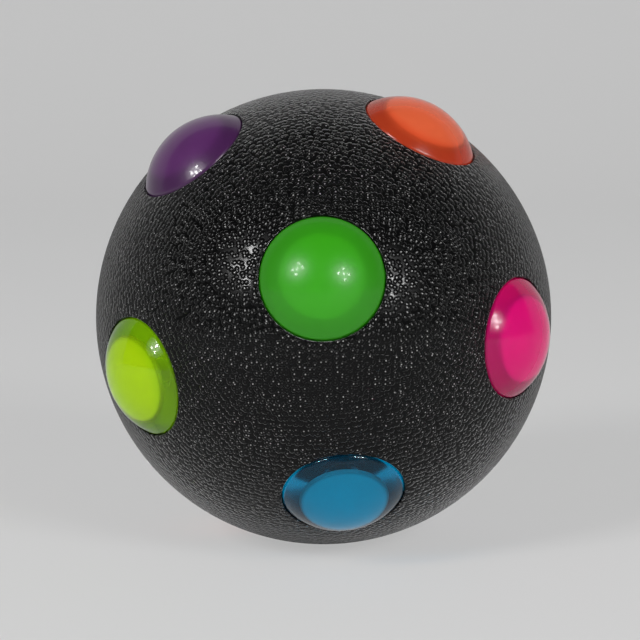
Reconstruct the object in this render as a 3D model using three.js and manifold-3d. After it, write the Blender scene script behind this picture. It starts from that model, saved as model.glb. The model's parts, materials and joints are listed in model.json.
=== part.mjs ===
// Light-up ball: two pebbled half shells with twelve sprung, lit domes and a battery door.
// Millimetres, +Z up, the green dome faces -Y, origin at the centre of the ball.
import * as THREE from "three";
import { mergeVertices } from "three/addons/utils/BufferGeometryUtils.js";
import ManifoldModule from "manifold-3d";

const manifold = await ManifoldModule();
manifold.setup();

// Ball and shells
const BALL_RADIUS = 50;
const SHELL_WALL = 2.5;
const SHELL_SEGMENTS = 30;
const SHELL_RINGS = 8;
const INNER_SEGMENTS = 20;
const INNER_RINGS = 8;
const GAP = 0.3;
const LIP_THICKNESS = 1.1;
const LIP_LENGTH = 1.5;
const LIP_ROOT = 2;

// How the ball lies: the level facet is this many facet rings from the parting plane
const REST_FACET_RINGS = 1.5;

// Dome layout: a pole and a ring of five on each half, angles from the pole and about it
const RING_ANGLE = 58.6;
const RING_STEP = 72;
const FIRST_RING_AZIMUTH = -12.6;
const DOME_COLOURS = {
  green: 0x3a9a28,
  pink: 0xd81874,
  orange: 0xe05a30,
  purple: 0x623468,
  lime: 0xa0d010,
  blue: 0x0878aa,
};

// Dome and the frosted disc inside it
const DOME_PROUD = 4.3;
const DOME_CROWN = 6;
const DOME_SKIRT_RADIUS = 12.6;
const DOME_HOLE_GAP = 0.3;
const DOME_SEGMENTS = 20;
const DOME_ARC_STEPS = 5;
const FLANGE_DEPTH = 5.8;
const FLANGE_LIP = 1.3;
const FLANGE_THICKNESS = 1.4;
const LENS_THICKNESS = 4.7;
const DIFFUSER_RADIUS = 8.5;
const DIFFUSER_THICKNESS = 1;
const DIFFUSER_SEGMENTS = 16;

// Well, return ring and LED board under each dome
const WELL_WALL = 1.3;
const RETURN_RING_HEIGHT = 6.2;
const RETURN_RING_WALL = 2.2;
const RETURN_RING_FOOT = 1.2;
const RETURN_RING_TAPER = 1.4;
const RETURN_RING_TOP_WIDTH = 3.2;
const RETURN_RING_SEGMENTS = 12;
const BOARD_LEDGE = 0.8;
const BOARD_THICKNESS = 1.2;
const BOARD_SEGMENTS = 14;
const SNAP_LIP = 0.4;
const SNAP_LIP_HEIGHT = 0.8;
const LED_RADIUS = 2.5;
const LED_TIP_RADIUS = 1.6;
const LED_HEIGHT = 6;

// Battery compartment and door
const DOOR_AZIMUTH = FIRST_RING_AZIMUTH + RING_STEP;
const DOOR_DEPTH = 4.1;
const DOOR_LEDGE = 1.9;
const DOOR_SEGMENTS = 24;
const LUG_RADIUS = 4;
const LUG_SEGMENTS = 12;
const POCKET_WALL = 1.3;
const POCKET_FLOOR = 1.4;
const COMPARTMENT_WALL = 1.3;
const CELL_RADIUS = 8;
const CELL_THICKNESS = 1.6;
const CELL_EDGE = 0.4;
const CELL_BORE_GAP = 0.4;

// Screws
const DOOR_SCREW_SINK = 2;
const DOOR_SCREW_HEAD_RADIUS = 1.7;
const DOOR_SCREW_SHANK_RADIUS = 0.8;
const DOOR_SCREW_LENGTH = 6.5;
const LUG_BOSS_WALL = 1.4;
const LUG_BOSS_FLOOR = 0.9;
const PILOT_END_GAP = 0.6;
const BOARD_SCREW_HEAD_RADIUS = 1.6;
const BOARD_SCREW_SHANK_RADIUS = 0.7;
const BOARD_SCREW_LENGTH = 7.4;
const SCREW_HEAD_HEIGHT = 0.8;
const SCREW_POINT = 1;
const SCREW_SEGMENTS = 8;
const CROSS_WIDTH = 0.5;
const CROSS_LENGTH = 2.2;
const CROSS_DEPTH = 0.4;

// Contacts
const CONTACT_THICKNESS = 0.4;
const CONTACT_SEGMENTS = 12;
const LEAF_RADIUS = 6;
const LEAF_HOLE_RADIUS = 2;
const LEAF_HEIGHT = 0.8;
const SIDE_CONTACT_WIDTH = 5;

// Main board
const MAIN_BOARD_RADIUS = 11.5;
const MAIN_BOARD_THICKNESS = 1.2;
const MAIN_BOARD_STANDOFF = 7.6;
const MAIN_BOARD_SEGMENTS = 18;
const MAIN_BOSS_RADIUS = 3;
const CHIP_SIZE = 6;
const CHIP_HEIGHT = 1.2;
const CHIP_OFFSET = 6;

// Wire harness
const WIRE_RADIUS = 0.9;
const WIRE_SIDES = 5;
const WIRE_STEPS = 5;
const WIRE_REACH = 15;
const PLUG_LENGTH = 14;
const PLUG_WIDTH = 5;
const PLUG_HEIGHT = 2.6;
const PLUG_OFFSET = -6;
const PLUG_ROW_STEP = 2.1;
const PLUG_ROW_GAP = 2.2;

// Colours and finishes of the materials
const SHELL_BLACK = { color: 0x141416, roughness: 0.5 };
const FROSTED_WHITE = { color: 0xf2f2ee, roughness: 0.5 };
const BLACK_SILICONE = { color: 0x202224, roughness: 0.8 };
const BOARD_GREEN = { color: 0x1d6b3a, roughness: 0.5 };
const SCREW_STEEL = { color: 0xb8bcc0, roughness: 0.35, metalness: 1 };
const CELL_STEEL = { color: 0xc4c8cc, roughness: 0.3, metalness: 1 };
const CONTACT_BRASS = { color: 0xc8b070, roughness: 0.35, metalness: 1 };
const WIRE_COVER = { color: 0x303234, roughness: 0.7 };
const DOME_ROUGHNESS = 0.1;

// Points of a mesh that are nearer than this are one point
const MERGE_DISTANCE = 1e-4;

// Radii that follow from the sizes above
const INNER_RADIUS = BALL_RADIUS - SHELL_WALL;
const OUTSIDE = 2 * BALL_RADIUS;
const DOME_HOLE_RADIUS = DOME_SKIRT_RADIUS + DOME_HOLE_GAP;
const FLANGE_RADIUS = DOME_SKIRT_RADIUS + FLANGE_LIP;
const WELL_BORE_RADIUS = FLANGE_RADIUS + GAP;
const BOARD_GROOVE_RADIUS = WELL_BORE_RADIUS + BOARD_LEDGE;
const BOARD_RADIUS = BOARD_GROOVE_RADIUS - GAP;
const WELL_RADIUS = BOARD_GROOVE_RADIUS + WELL_WALL;
const BORE_RADIUS = DIFFUSER_RADIUS + GAP;
const CELL_BORE_RADIUS = CELL_RADIUS + CELL_BORE_GAP;
const SIDE_CONTACT_INNER_RADIUS = CELL_RADIUS + GAP;
const SIDE_POCKET_RADIUS = SIDE_CONTACT_INNER_RADIUS + CONTACT_THICKNESS + GAP;
const COMPARTMENT_RADIUS = CELL_BORE_RADIUS + COMPARTMENT_WALL;
const DOOR_RADIUS = CELL_BORE_RADIUS + DOOR_LEDGE;
const LUG_OFFSET = DOOR_RADIUS + DOOR_SCREW_HEAD_RADIUS - GAP;
const LUG_BOSS_RADIUS = LUG_RADIUS + LUG_BOSS_WALL;

// The door lies midway between the rear pole and two domes of its ring
const RING_SLOPE = THREE.MathUtils.degToRad(RING_ANGLE);
const HALF_STEP = THREE.MathUtils.degToRad(RING_STEP / 2);
const DOOR_LEAN = Math.atan2(1 - Math.cos(RING_SLOPE), Math.sin(RING_SLOPE) * Math.cos(HALF_STEP));
const DOOR_POLAR = 180 - THREE.MathUtils.radToDeg(DOOR_LEAN);

// The battery compartment widens until it joins the three wells around it at the ball's inside
const WELL_SPREAD = Math.asin(WELL_RADIUS / INNER_RADIUS);
const COMPARTMENT_TOP_RADIUS = INNER_RADIUS * Math.sin(DOOR_LEAN - WELL_SPREAD) + WELL_WALL;
const COMPARTMENT_SHOULDER = INNER_RADIUS * Math.cos(DOOR_LEAN - WELL_SPREAD);

// Levels along a dome's axis, from the centre of the ball
const DOME_APEX = BALL_RADIUS + DOME_PROUD;
const BORE_END = DOME_APEX - LENS_THICKNESS;
const DIFFUSER_TOP = BORE_END - GAP;
const FLANGE_TOP = BALL_RADIUS - FLANGE_DEPTH;
const FLANGE_BOTTOM = FLANGE_TOP - FLANGE_THICKNESS;
const RETURN_RING_TOP = FLANGE_BOTTOM - GAP;
const RETURN_RING_BOTTOM = RETURN_RING_TOP - RETURN_RING_HEIGHT;
const BOARD_TOP = RETURN_RING_BOTTOM - GAP;
const BOARD_BOTTOM = BOARD_TOP - BOARD_THICKNESS;
const WELL_BOTTOM = BOARD_BOTTOM - GAP - SNAP_LIP_HEIGHT;
const WELL_TOP = Math.sqrt(INNER_RADIUS ** 2 - WELL_RADIUS ** 2) + SHELL_WALL / 2;

// Levels along the battery door's axis, from the centre of the ball
const DOOR_BOTTOM = BALL_RADIUS - DOOR_DEPTH;
const POCKET_BOTTOM = DOOR_BOTTOM - GAP - POCKET_FLOOR;
const CELL_OUTER_TOP = DOOR_BOTTOM - GAP;
const CELL_OUTER_BOTTOM = CELL_OUTER_TOP - CELL_THICKNESS;
const CELL_INNER_TOP = CELL_OUTER_BOTTOM - GAP;
const CELL_INNER_BOTTOM = CELL_INNER_TOP - CELL_THICKNESS;
const LEAF_TOP = CELL_INNER_BOTTOM - GAP;
const LEAF_BOTTOM = LEAF_TOP - LEAF_HEIGHT;
const CELL_BORE_FLOOR = LEAF_BOTTOM - GAP;
const COMPARTMENT_BOTTOM = CELL_BORE_FLOOR - COMPARTMENT_WALL;
const DOOR_SCREW_HEAD_TOP = BALL_RADIUS - DOOR_SCREW_SINK;
const DOOR_SCREW_SEAT = DOOR_SCREW_HEAD_TOP - SCREW_HEAD_HEIGHT;
const DOOR_SCREW_TIP = DOOR_SCREW_HEAD_TOP - DOOR_SCREW_LENGTH;
const PILOT_FLOOR = DOOR_SCREW_TIP - PILOT_END_GAP;
const LUG_BOSS_BOTTOM = PILOT_FLOOR - LUG_BOSS_FLOOR;
const MAIN_BOARD_TOP = COMPARTMENT_BOTTOM - MAIN_BOARD_STANDOFF;
const MAIN_BOARD_BOTTOM = MAIN_BOARD_TOP - MAIN_BOARD_THICKNESS;
const BOARD_SCREW_SEAT = MAIN_BOARD_BOTTOM - GAP;
const BOARD_SCREW_END = BOARD_SCREW_SEAT - SCREW_HEAD_HEIGHT;
const BOARD_SCREW_TIP = BOARD_SCREW_SEAT + BOARD_SCREW_LENGTH;
const PLUG_TOP = MAIN_BOARD_BOTTOM - GAP;
const PLUG_BOTTOM = PLUG_TOP - PLUG_HEIGHT;

// The outer ball's facets
const FACET_RING = 90 / SHELL_RINGS;
const OUTER_EDGE_TURN = Math.PI / SHELL_SEGMENTS;

// A turned body about Z from radius and level pairs, outer wall going up.
function turned(profile, segments, turn = 0) {
  const points = profile.map(([radius, level]) => new THREE.Vector2(radius, level));
  return new THREE.LatheGeometry(points, segments, turn).rotateX(Math.PI / 2);
}

// A closed ring about Z, its profile joined back to its first point.
function turnedRing(profile, segments) {
  return turned([...profile, profile[0]], segments);
}

function cylinder(radius, bottom, top, segments) {
  return turned([[0, bottom], [radius, bottom], [radius, top], [0, top]], segments);
}

function block(width, depth, bottom, top) {
  return new THREE.BoxGeometry(width, depth, top - bottom).translate(0, 0, (bottom + top) / 2);
}

function sphere(radius, segments, rings, turn) {
  const profile = [];
  for (let ring = -rings; ring <= rings; ring += 1) {
    const angle = (ring / rings) * (Math.PI / 2);
    const level = radius * Math.sin(angle);
    profile.push([Math.abs(ring) === rings ? 0 : radius * Math.cos(angle), level]);
  }
  return turned(profile, segments, turn);
}

// A closed geometry as a solid that can be joined and cut.
function solidOf(geometry) {
  const bare = geometry.clone();
  bare.deleteAttribute("normal");
  bare.deleteAttribute("uv");
  const merged = mergeVertices(bare, MERGE_DISTANCE);
  return new manifold.Manifold(new manifold.Mesh({
    numProp: 3,
    vertProperties: new Float32Array(merged.attributes.position.array),
    triVerts: new Uint32Array(merged.index.array),
  }));
}

function geometryOf(solid) {
  const mesh = solid.getMesh();
  const geometry = new THREE.BufferGeometry();
  geometry.setAttribute("position", new THREE.BufferAttribute(mesh.vertProperties, 3));
  geometry.setIndex(new THREE.BufferAttribute(mesh.triVerts, 1));
  geometry.computeVertexNormals();
  return geometry;
}

// A group whose +Z points from the centre of the ball along a polar angle and an azimuth.
function station(name, polar, azimuth) {
  const group = new THREE.Group();
  group.name = name;
  const tilt = THREE.MathUtils.degToRad(polar);
  const turn = THREE.MathUtils.degToRad(azimuth);
  group.rotation.set(0, tilt, turn, "ZYX");
  group.updateMatrix();
  return group;
}

function placed(geometry, group) {
  return solidOf(geometry.clone().applyMatrix4(group.matrix));
}

function mesh(name, geometry, finish) {
  const body = new THREE.Mesh(geometry, new THREE.MeshStandardMaterial(finish));
  body.name = name;
  return body;
}

// Dome stations: one pole and a ring of five on each half, the rear ones opposite the front ones.
const domeStations = Object.keys(DOME_COLOURS).flatMap((colour, index) => {
  const polar = index === 0 ? 0 : RING_ANGLE;
  const azimuth = FIRST_RING_AZIMUTH + RING_STEP * Math.max(index - 1, 0);
  return [
    {
      name: colour,
      colour: DOME_COLOURS[colour],
      front: true,
      group: station(`station_${colour}`, polar, azimuth),
    },
    {
      name: `${colour}_rear`,
      colour: DOME_COLOURS[colour],
      front: false,
      group: station(`station_${colour}_rear`, 180 - polar, azimuth + 180),
    },
  ];
});
const doorStation = station("station_battery", DOOR_POLAR, DOOR_AZIMUTH);

function domeGeometry() {
  const profile = [
    [0, BORE_END],
    [BORE_RADIUS, BORE_END],
    [BORE_RADIUS, FLANGE_BOTTOM],
    [FLANGE_RADIUS, FLANGE_BOTTOM],
    [FLANGE_RADIUS, FLANGE_TOP],
    [DOME_SKIRT_RADIUS, FLANGE_TOP],
  ];
  for (let step = 0; step < DOME_ARC_STEPS; step += 1) {
    const share = 1 - step / DOME_ARC_STEPS;
    profile.push([DOME_SKIRT_RADIUS * share, DOME_APEX - DOME_CROWN * share ** 2]);
  }
  profile.push([0, DOME_APEX]);
  return turned(profile, DOME_SEGMENTS);
}

function returnRingGeometry() {
  const outer = FLANGE_RADIUS;
  const inner = outer - RETURN_RING_WALL;
  const topOuter = outer - RETURN_RING_TAPER;
  return turnedRing([
    [inner, RETURN_RING_BOTTOM],
    [outer, RETURN_RING_BOTTOM],
    [topOuter, RETURN_RING_TOP],
    [topOuter - RETURN_RING_TOP_WIDTH, RETURN_RING_TOP],
    [inner, RETURN_RING_BOTTOM + RETURN_RING_FOOT],
  ], RETURN_RING_SEGMENTS);
}

function ledBoardGeometry() {
  const tip = BOARD_TOP + LED_HEIGHT;
  return turned([
    [0, BOARD_BOTTOM],
    [BOARD_RADIUS, BOARD_BOTTOM],
    [BOARD_RADIUS, BOARD_TOP],
    [LED_RADIUS, BOARD_TOP],
    [LED_TIP_RADIUS, tip],
    [0, tip],
  ], BOARD_SEGMENTS);
}

// The room inside one dome well, from the ball's inside to beyond its outside.
function wellRoomGeometry() {
  const lipRadius = BOARD_RADIUS - SNAP_LIP;
  const lipTop = BOARD_BOTTOM - GAP;
  const shoulder = BOARD_TOP + GAP;
  const stop = FLANGE_TOP + GAP;
  return turned([
    [0, WELL_BOTTOM - GAP],
    [lipRadius, WELL_BOTTOM - GAP],
    [lipRadius, lipTop],
    [BOARD_GROOVE_RADIUS, lipTop],
    [BOARD_GROOVE_RADIUS, shoulder],
    [WELL_BORE_RADIUS, shoulder],
    [WELL_BORE_RADIUS, stop],
    [DOME_HOLE_RADIUS, stop],
    [DOME_HOLE_RADIUS, OUTSIDE],
    [0, OUTSIDE],
  ], DOME_SEGMENTS);
}

// The door's outline, a disc with a lug for the screw, between two levels.
function doorOutline(extra, bottom, top) {
  const disc = solidOf(cylinder(DOOR_RADIUS + extra, bottom, top, DOOR_SEGMENTS));
  const lug = solidOf(cylinder(LUG_RADIUS + extra, bottom, top, LUG_SEGMENTS).translate(-LUG_OFFSET, 0, 0));
  return disc.add(lug);
}

function outerBall() {
  return sphere(BALL_RADIUS, SHELL_SEGMENTS, SHELL_RINGS, OUTER_EDGE_TURN);
}

// All that lies on one side of the parting plane, half a gap away from it.
function halfSpace(front) {
  const middle = (front ? 1 : -1) * (OUTSIDE / 2 + GAP / 2);
  return solidOf(new THREE.BoxGeometry(2 * OUTSIDE, 2 * OUTSIDE, OUTSIDE).translate(0, 0, middle));
}

function lipRing(inner, outer, bottom, top) {
  return solidOf(turnedRing([[inner, bottom], [outer, bottom], [outer, top], [inner, top]], SHELL_SEGMENTS));
}

// The battery compartment's walls, with the bosses for the door's screw and the main board.
function compartmentGeometry() {
  const lugBoss = cylinder(LUG_BOSS_RADIUS, LUG_BOSS_BOTTOM, BALL_RADIUS, LUG_SEGMENTS);
  const boardBoss = cylinder(MAIN_BOSS_RADIUS, MAIN_BOARD_TOP + GAP, CELL_BORE_FLOOR, SCREW_SEGMENTS);
  const walls = turned([
    [0, COMPARTMENT_BOTTOM],
    [COMPARTMENT_RADIUS, COMPARTMENT_BOTTOM],
    [COMPARTMENT_TOP_RADIUS, COMPARTMENT_SHOULDER],
    [COMPARTMENT_TOP_RADIUS, BALL_RADIUS],
    [0, BALL_RADIUS],
  ], DOOR_SEGMENTS);
  return geometryOf(doorOutline(POCKET_WALL + GAP, POCKET_BOTTOM, BALL_RADIUS)
    .add(solidOf(walls))
    .add(solidOf(lugBoss.translate(-LUG_OFFSET, 0, 0)))
    .add(solidOf(boardBoss)));
}

// The room for the door, the cells, the side contact and the door's screw.
function compartmentRoomGeometry() {
  const pilot = cylinder(DOOR_SCREW_SHANK_RADIUS + GAP, PILOT_FLOOR, DOOR_BOTTOM, SCREW_SEGMENTS);
  const pocketDepth = SIDE_POCKET_RADIUS - CELL_RADIUS;
  const pocketWidth = SIDE_CONTACT_WIDTH + 2 * GAP;
  const pocket = block(pocketDepth, pocketWidth, LEAF_BOTTOM - GAP, DOOR_BOTTOM);
  return geometryOf(doorOutline(GAP, DOOR_BOTTOM - GAP, OUTSIDE)
    .add(solidOf(cylinder(CELL_BORE_RADIUS, CELL_BORE_FLOOR, DOOR_BOTTOM, DOOR_SEGMENTS)))
    .add(solidOf(pocket.translate(CELL_RADIUS + pocketDepth / 2, 0, 0)))
    .add(solidOf(pilot.translate(-LUG_OFFSET, 0, 0))));
}

// The wall of the ball on one side of the parting plane, with its dome wells.
function shellHalf(stations, front) {
  const outer = solidOf(outerBall());
  let half = outer.subtract(solidOf(sphere(INNER_RADIUS, INNER_SEGMENTS, INNER_RINGS, 0)));
  const well = cylinder(WELL_RADIUS, WELL_BOTTOM, WELL_TOP, DOME_SEGMENTS);
  stations.forEach(({ group }) => {
    half = half.add(placed(well, group));
  });
  if (!front) half = half.add(placed(compartmentGeometry(), doorStation));
  half = half.intersect(outer).intersect(halfSpace(front));
  if (front) half = half.add(lipRing(INNER_RADIUS, INNER_RADIUS + LIP_THICKNESS, -LIP_LENGTH, LIP_ROOT));
  stations.forEach(({ group }) => {
    half = half.subtract(placed(wellRoomGeometry(), group));
  });
  return half;
}

function frontShellGeometry() {
  return geometryOf(shellHalf(domeStations.filter(({ front }) => front), true));
}

function rearShellGeometry() {
  const rebateOuter = INNER_RADIUS + LIP_THICKNESS + GAP;
  const rebate = lipRing(INNER_RADIUS - LIP_THICKNESS, rebateOuter, -LIP_LENGTH - GAP, LIP_ROOT);
  const pilotRadius = BOARD_SCREW_SHANK_RADIUS + GAP;
  const pilotEnd = BOARD_SCREW_TIP + PILOT_END_GAP;
  const boardPilot = cylinder(pilotRadius, MAIN_BOARD_TOP, pilotEnd, SCREW_SEGMENTS);
  return geometryOf(shellHalf(domeStations.filter(({ front }) => !front), false)
    .subtract(placed(compartmentRoomGeometry(), doorStation))
    .subtract(placed(boardPilot, doorStation))
    .subtract(rebate));
}

function crossSlot(level) {
  const bottom = level - CROSS_DEPTH;
  const top = level + CROSS_DEPTH;
  const bar = solidOf(block(CROSS_LENGTH, CROSS_WIDTH, bottom, top));
  return bar.add(solidOf(block(CROSS_WIDTH, CROSS_LENGTH, bottom, top)));
}

function doorScrewGeometry() {
  const screw = solidOf(turned([
    [0, DOOR_SCREW_TIP],
    [DOOR_SCREW_SHANK_RADIUS, DOOR_SCREW_TIP + SCREW_POINT],
    [DOOR_SCREW_SHANK_RADIUS, DOOR_SCREW_SEAT],
    [DOOR_SCREW_HEAD_RADIUS, DOOR_SCREW_SEAT],
    [DOOR_SCREW_HEAD_RADIUS, DOOR_SCREW_HEAD_TOP],
    [0, DOOR_SCREW_HEAD_TOP],
  ], SCREW_SEGMENTS));
  return geometryOf(screw.subtract(crossSlot(DOOR_SCREW_HEAD_TOP))).translate(-LUG_OFFSET, 0, 0);
}

function boardScrewGeometry() {
  const screw = solidOf(turned([
    [0, BOARD_SCREW_END],
    [BOARD_SCREW_HEAD_RADIUS, BOARD_SCREW_END],
    [BOARD_SCREW_HEAD_RADIUS, BOARD_SCREW_SEAT],
    [BOARD_SCREW_SHANK_RADIUS, BOARD_SCREW_SEAT],
    [BOARD_SCREW_SHANK_RADIUS, BOARD_SCREW_TIP - SCREW_POINT],
    [0, BOARD_SCREW_TIP],
  ], SCREW_SEGMENTS));
  return geometryOf(screw.subtract(crossSlot(BOARD_SCREW_END)));
}

function doorGeometry() {
  const shank = cylinder(DOOR_SCREW_SHANK_RADIUS + GAP, 0, OUTSIDE, SCREW_SEGMENTS);
  const head = cylinder(DOOR_SCREW_HEAD_RADIUS + GAP, DOOR_SCREW_SEAT - GAP, OUTSIDE, SCREW_SEGMENTS);
  const hole = solidOf(shank).add(solidOf(head)).translate([-LUG_OFFSET, 0, 0]);
  const toDoor = doorStation.matrix.clone().invert();
  const ball = solidOf(outerBall().applyMatrix4(toDoor));
  return geometryOf(doorOutline(0, DOOR_BOTTOM, OUTSIDE).intersect(ball).subtract(hole));
}

function cellGeometry(bottom, top) {
  return turned([
    [0, bottom],
    [CELL_RADIUS - CELL_EDGE, bottom],
    [CELL_RADIUS, bottom + CELL_EDGE],
    [CELL_RADIUS, top],
    [0, top],
  ], DOOR_SEGMENTS);
}

function leafContactGeometry() {
  return turnedRing([
    [LEAF_HOLE_RADIUS, LEAF_TOP - CONTACT_THICKNESS],
    [LEAF_RADIUS, LEAF_BOTTOM],
    [LEAF_RADIUS, LEAF_BOTTOM + CONTACT_THICKNESS],
    [LEAF_HOLE_RADIUS, LEAF_TOP],
  ], CONTACT_SEGMENTS);
}

function sideContactGeometry() {
  const strip = block(CONTACT_THICKNESS, SIDE_CONTACT_WIDTH, LEAF_BOTTOM, CELL_OUTER_TOP - GAP);
  return strip.translate(SIDE_CONTACT_INNER_RADIUS + CONTACT_THICKNESS / 2, 0, 0);
}

function mainBoardGeometry() {
  const board = solidOf(cylinder(MAIN_BOARD_RADIUS, MAIN_BOARD_BOTTOM, MAIN_BOARD_TOP, MAIN_BOARD_SEGMENTS));
  const hole = solidOf(cylinder(BOARD_SCREW_SHANK_RADIUS + GAP, 0, OUTSIDE, SCREW_SEGMENTS));
  const chip = block(CHIP_SIZE, CHIP_SIZE, MAIN_BOARD_BOTTOM - CHIP_HEIGHT, MAIN_BOARD_BOTTOM + GAP);
  return geometryOf(board.subtract(hole).add(solidOf(chip.translate(CHIP_OFFSET, 0, 0))));
}

function wireGeometry(start, end, startDirection, endDirection) {
  const path = new THREE.CubicBezierCurve3(
    start,
    start.clone().addScaledVector(startDirection, WIRE_REACH),
    end.clone().addScaledVector(endDirection, -WIRE_REACH),
    end,
  );
  const outline = new THREE.Shape();
  for (let side = 0; side < WIRE_SIDES; side += 1) {
    const angle = (side / WIRE_SIDES) * 2 * Math.PI;
    const point = [WIRE_RADIUS * Math.cos(angle), WIRE_RADIUS * Math.sin(angle)];
    if (side === 0) outline.moveTo(...point);
    else outline.lineTo(...point);
  }
  outline.closePath();
  return new THREE.ExtrudeGeometry(outline, { steps: WIRE_STEPS, extrudePath: path });
}

function wireHarnessGeometry() {
  const plug = block(PLUG_WIDTH, PLUG_LENGTH, PLUG_BOTTOM, PLUG_TOP).translate(PLUG_OFFSET, 0, 0);
  const inward = new THREE.Vector3(0, 0, -1).transformDirection(doorStation.matrix);
  let harness = placed(plug, doorStation);
  const boards = domeStations.map(({ group }) => {
    const axis = new THREE.Vector3(0, 0, 1).transformDirection(group.matrix);
    return { axis, end: axis.clone().multiplyScalar(BOARD_BOTTOM - GAP) };
  });
  const along = new THREE.Vector3(0, 1, 0).transformDirection(doorStation.matrix);
  boards.sort((one, other) => one.axis.dot(along) - other.axis.dot(along));
  boards.forEach(({ axis, end }, index) => {
    const row = index % 2 === 0 ? -1 : 1;
    const place = Math.floor(index / 2) - (boards.length / 2 - 1) / 2;
    const across = PLUG_OFFSET + (row * PLUG_ROW_GAP) / 2;
    const start = new THREE.Vector3(across, place * PLUG_ROW_STEP, (PLUG_BOTTOM + PLUG_TOP) / 2);
    start.applyMatrix4(doorStation.matrix);
    harness = harness.add(solidOf(wireGeometry(start, end, inward, axis)));
  });
  return geometryOf(harness);
}

// How far the ball is tipped back so that the facet it lies on is level.
function restTilt() {
  const low = THREE.MathUtils.degToRad((REST_FACET_RINGS - 0.5) * FACET_RING);
  const high = THREE.MathUtils.degToRad((REST_FACET_RINGS + 0.5) * FACET_RING);
  const run = Math.sin(high) - Math.sin(low);
  const drop = Math.cos(OUTER_EDGE_TURN) * (Math.cos(low) - Math.cos(high));
  return Math.PI / 2 - Math.atan2(drop, run);
}

const part = new THREE.Group();
part.name = "light_up_ball";
const ball = new THREE.Group();
ball.name = "ball";
ball.rotation.x = restTilt();
part.add(ball);

ball.add(mesh("front_shell", frontShellGeometry(), SHELL_BLACK));
ball.add(mesh("rear_shell", rearShellGeometry(), SHELL_BLACK));
for (const { name, colour, group } of domeStations) {
  const diffuserBottom = DIFFUSER_TOP - DIFFUSER_THICKNESS;
  const diffuser = cylinder(DIFFUSER_RADIUS, diffuserBottom, DIFFUSER_TOP, DIFFUSER_SEGMENTS);
  group.add(mesh(`dome_${name}`, domeGeometry(), { color: colour, roughness: DOME_ROUGHNESS }));
  group.add(mesh(`diffuser_${name}`, diffuser, FROSTED_WHITE));
  group.add(mesh(`return_ring_${name}`, returnRingGeometry(), BLACK_SILICONE));
  group.add(mesh(`led_board_${name}`, ledBoardGeometry(), BOARD_GREEN));
  ball.add(group);
}
doorStation.add(mesh("battery_door", doorGeometry(), SHELL_BLACK));
doorStation.add(mesh("battery_door_screw", doorScrewGeometry(), SCREW_STEEL));
doorStation.add(mesh("coin_cell_outer", cellGeometry(CELL_OUTER_BOTTOM, CELL_OUTER_TOP), CELL_STEEL));
doorStation.add(mesh("coin_cell_inner", cellGeometry(CELL_INNER_BOTTOM, CELL_INNER_TOP), CELL_STEEL));
doorStation.add(mesh("battery_contact_inner", leafContactGeometry(), CONTACT_BRASS));
doorStation.add(mesh("battery_contact_side", sideContactGeometry(), CONTACT_BRASS));
doorStation.add(mesh("main_board", mainBoardGeometry(), BOARD_GREEN));
doorStation.add(mesh("main_board_screw", boardScrewGeometry(), SCREW_STEEL));
ball.add(doorStation);
ball.add(mesh("wire_harness", wireHarnessGeometry(), WIRE_COVER));

export default part;
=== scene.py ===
import json
import math

import bmesh
import bpy
import numpy as np
from bpy.props import FloatProperty, FloatVectorProperty, IntProperty, PointerProperty
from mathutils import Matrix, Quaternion, Vector


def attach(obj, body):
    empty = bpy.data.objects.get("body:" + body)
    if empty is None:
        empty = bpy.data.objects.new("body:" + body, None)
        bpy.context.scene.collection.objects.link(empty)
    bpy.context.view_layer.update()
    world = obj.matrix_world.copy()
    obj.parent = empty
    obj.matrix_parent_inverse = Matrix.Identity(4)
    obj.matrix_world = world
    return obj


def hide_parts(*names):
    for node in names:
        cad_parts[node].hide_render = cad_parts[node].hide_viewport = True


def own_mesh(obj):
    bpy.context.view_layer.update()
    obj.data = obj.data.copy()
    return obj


bl_info = {
    "name": "Light-up dome ball",
    "version": (1, 0, 0),
    "blender": (4, 5, 0),
    "location": "View3D > Sidebar > Dome ball",
    "description": "Builds a black pebbled toy ball with tinted, sprung domes and a battery door",
    "category": "Add Mesh",
}

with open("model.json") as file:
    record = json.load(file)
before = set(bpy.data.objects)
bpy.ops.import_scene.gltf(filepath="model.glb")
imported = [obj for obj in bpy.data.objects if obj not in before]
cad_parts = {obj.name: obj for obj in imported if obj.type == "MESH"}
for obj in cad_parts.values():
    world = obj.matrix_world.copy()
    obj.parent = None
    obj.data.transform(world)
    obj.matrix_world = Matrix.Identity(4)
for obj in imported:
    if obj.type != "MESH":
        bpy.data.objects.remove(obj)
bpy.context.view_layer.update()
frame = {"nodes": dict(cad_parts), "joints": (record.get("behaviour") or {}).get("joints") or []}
JOINTS = {joint["name"]: joint for joint in frame["joints"]}
COLOURS = ("green", "pink", "orange", "purple", "lime", "blue")
DOMES = [name for colour in COLOURS for name in (colour, colour + "_rear")]
POLE = -Vector(JOINTS["press_green"]["axis"])
GRAIN_PLACE = "grain_place"
RIM = "rim"
SIDE = "side"

# Lengths below this count as nothing
TINY = 1e-6

# How finely the meshes are divided
SHARP_ANGLE = 0.6
EDGE_ANGLES = (0.4, 0.8, 1.2, math.pi / 2)
EDGE_REACH = 0.35
INSIDE_SUBDIVISIONS = 5
ROUND_STEPS = 4
RIM_STEPS = 8
RIM_CORNER = 3
DOME_STEPS = 36
DOME_SEGMENTS = 96
DISC_STEPS = 20
DISC_SEGMENTS = 64
RING_SEGMENTS = 48
SCREW_STEPS = 14
SCREW_SEGMENTS = 48
CELL_SEGMENTS = 96

# How points are slid over the ball, as shares of its radius
SLIDE_ROUNDS = 6
SLIDE_STEP = 1e-4
LEAST_SLOPE = 1e-3

# From one dome's patch of grain to the next, in ball radii
PATCH_SPACING = 4.0

# Shares of the radius between which painted shade deepens a dome's tint and darkens a disc
DOME_RIM = (0.66, 0.86)
DISC_RIM = (0.92, 1.0)

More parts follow.
